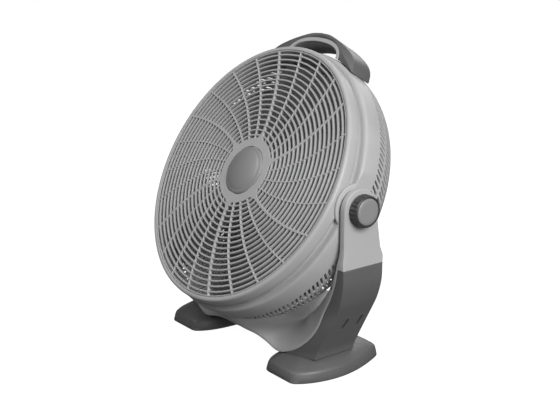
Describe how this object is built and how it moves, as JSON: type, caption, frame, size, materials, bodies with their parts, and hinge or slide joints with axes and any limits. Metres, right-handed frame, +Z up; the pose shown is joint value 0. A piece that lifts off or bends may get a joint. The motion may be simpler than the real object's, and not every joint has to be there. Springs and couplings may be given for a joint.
{
  "type": "tilting floor fan",
  "caption": "Round drum-type floor fan with a spiral front grille and carrying handle, tilting on side pivots in a U-shaped yoke with two broad feet.",
  "frame": {"origin": "on the floor, under the middle of the fan's outer box", "axes": "+Z up, -Y the way the fan blows, +X the fan's left when it is seen from behind, to the right seen from the front"},
  "size_m": [0.599, 0.3769, 0.6079],
  "materials": {
    "light_plastic": "fine satin moulding texture, light grey",
    "dark_plastic": "fine satin moulding texture, dark grey",
    "black_plastic": "satin, near black",
    "knob_plastic": "satin, mid grey",
    "steel": "zinc plated",
    "blackened_steel": "blackened screw steel",
    "lamination": "stamped electrical steel",
    "copper": "enamelled copper wire",
    "brass": "turned",
    "aluminium": "die cast",
    "rubber": "matt",
    "nylon": "natural"
  },
  "bodies": {
    "base": {"yoke": "light_plastic", "leg_cover_left": "dark_plastic", "leg_cover_right": "dark_plastic", "foot_left": "dark_plastic", "foot_right": "dark_plastic", "foot_screw_left_1": "steel", "foot_screw_left_2": "steel", "foot_screw_right_1": "steel", "foot_screw_right_2": "steel", "leg_screw_left": "blackened_steel", "leg_screw_right": "blackened_steel", "rubber_pad_front_left": "rubber", "rubber_pad_front_right": "rubber", "rubber_pad_rear_left": "rubber", "rubber_pad_rear_right": "rubber", "pivot_washer_left": "nylon", "pivot_washer_right": "nylon"},
    "head": {"front_grille": "light_plastic", "grille_badge": "knob_plastic", "front_ring": "light_plastic", "drum_housing": "light_plastic", "handle_lip": "light_plastic", "handle_cover": "dark_plastic", "handle_screw_left": "steel", "handle_screw_right": "steel", "motor_front_bell": "aluminium", "motor_rear_bell": "aluminium", "stator_core": "lamination", "front_winding": "copper", "rear_winding": "copper", "front_bearing": "steel", "rear_bearing": "steel", "motor_screw_1": "steel", "motor_screw_2": "steel", "motor_screw_3": "steel", "motor_screw_4": "steel", "motor_cover": "light_plastic", "capacitor": "nylon", "terminal_block": "nylon", "speed_switch": "black_plastic", "cord_gland": "black_plastic", "pivot_insert_left": "brass", "pivot_insert_right": "brass"},
    "rotor": {"fan_blade": "dark_plastic", "blade_nut": "black_plastic", "motor_shaft": "steel", "rotor_core": "lamination"},
    "dial": {"speed_dial": "knob_plastic"},
    "knob_left": {"tilt_knob_left": "black_plastic", "knob_cap_left": "knob_plastic", "pivot_bolt_left": "steel"},
    "knob_right": {"tilt_knob_right": "black_plastic", "knob_cap_right": "knob_plastic", "pivot_bolt_right": "steel"}
  },
  "joints": [
    {"name": "head_tilt", "type": "hinge", "parent": "base", "child": "head", "pos_m": [0, -0.011, 0.333], "axis": [1, 0, 0], "range_deg": [-59.6, 30.4]},
    {"name": "blade_spin", "type": "hinge", "parent": "head", "child": "rotor", "pos_m": [0, -0.011, 0.333], "axis": [0, -0.8625, 0.506], "continuous": true},
    {"name": "speed_dial_turn", "type": "hinge", "parent": "head", "child": "dial", "pos_m": [0, -0.011, 0.333], "axis": [0, -0.8625, 0.506], "range_deg": [0, 135]},
    {"name": "knob_left_turn", "type": "hinge", "parent": "base", "child": "knob_left", "pos_m": [0, -0.011, 0.333], "axis": [-1, 0, 0], "range_deg": [0, 270]},
    {"name": "knob_right_turn", "type": "hinge", "parent": "base", "child": "knob_right", "pos_m": [0, -0.011, 0.333], "axis": [1, 0, 0], "range_deg": [0, 270]}
  ]
}
